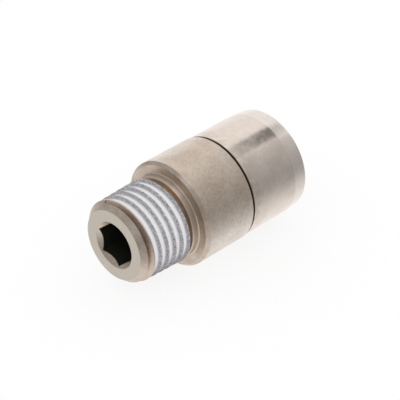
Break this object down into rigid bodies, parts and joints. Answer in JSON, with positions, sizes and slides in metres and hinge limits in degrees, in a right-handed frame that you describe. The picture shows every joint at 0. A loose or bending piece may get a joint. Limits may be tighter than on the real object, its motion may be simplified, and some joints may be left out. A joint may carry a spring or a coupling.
{
  "type": "male push-in tube fitting",
  "caption": "Round metal push-in fitting with a hexagon key socket through its sealed taper thread, for a plastic air tube.",
  "frame": {"origin": "centre of the nose face, on which the fitting stands with its thread down", "axes": "+Z along the fitting's axis from the threaded nose to the release button; +X through a corner of the key socket"},
  "size_m": [0.0164, 0.0164, 0.0323],
  "materials": {
    "plated_front": "brass with a satin, finely mottled nickel plating",
    "plated_rear": "brass with a smooth, brighter nickel plating",
    "plated_inner": "nickel plated brass, as turned",
    "plated_button": "nickel plated brass, satin",
    "spring_steel": "stamped stainless spring steel",
    "rubber": "matt black rubber",
    "sealant": "dry white sealing compound, rough at its edges"
  },
  "bodies": {
    "housing": {"stud_body": "plated_front", "thread_sealant": "sealant", "rear_sleeve": "plated_rear", "body_ring": "rubber", "tube_seal": "rubber", "backup_ring": "plated_inner", "grip_ring": "spring_steel", "guide_ring": "plated_inner"},
    "button": {"release_button": "plated_button"}
  },
  "joints": [
    {"name": "button_push", "type": "slide", "parent": "housing", "child": "button", "axis": [0, 0, -1], "range_m": [0, 0.001], "stiffness_N_per_m": 4000, "springref_m": -0.0005, "deforming": ["grip_ring"]}
  ]
}
